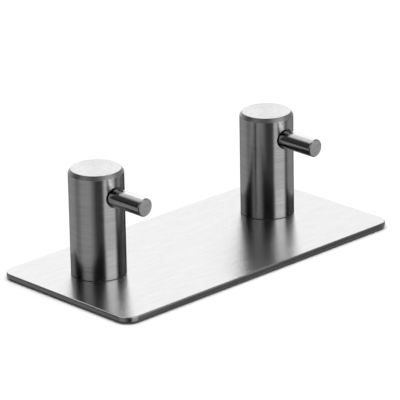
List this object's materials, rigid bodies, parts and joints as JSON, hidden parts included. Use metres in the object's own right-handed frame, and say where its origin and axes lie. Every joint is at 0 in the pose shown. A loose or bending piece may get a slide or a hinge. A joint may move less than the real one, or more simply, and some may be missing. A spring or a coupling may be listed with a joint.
{
  "type": "double wall hook",
  "caption": "Self-adhesive double wall hook: round steel posts on a thin brushed plate, each with a small peg near its free end that keeps a hung towel or robe loop from slipping off.",
  "frame": {"origin": "on the wall side of the release liners, under the middle of the back plate", "axes": "+X along the plate's long side, +Y down the wall, +Z out of the wall along the posts; the pegs point to -Y, which is up in use"},
  "size_m": [0.1, 0.05, 0.0315],
  "materials": {
    "plate_steel": "brushed along the long side",
    "post_steel": "fine turned satin",
    "peg_steel": "bright turned",
    "screw_steel": "plain bright",
    "adhesive_tape": "matte acrylic adhesive tape",
    "liner_film": "silicone-coated film"
  },
  "bodies": {
    "root": {"back_plate": "plate_steel", "left_post": "post_steel", "right_post": "post_steel", "left_peg": "peg_steel", "right_peg": "peg_steel", "left_post_screw": "screw_steel", "right_post_screw": "screw_steel", "left_adhesive_tape": "adhesive_tape", "right_adhesive_tape": "adhesive_tape", "left_release_liner": "liner_film", "right_release_liner": "liner_film"}
  },
  "joints": []
}
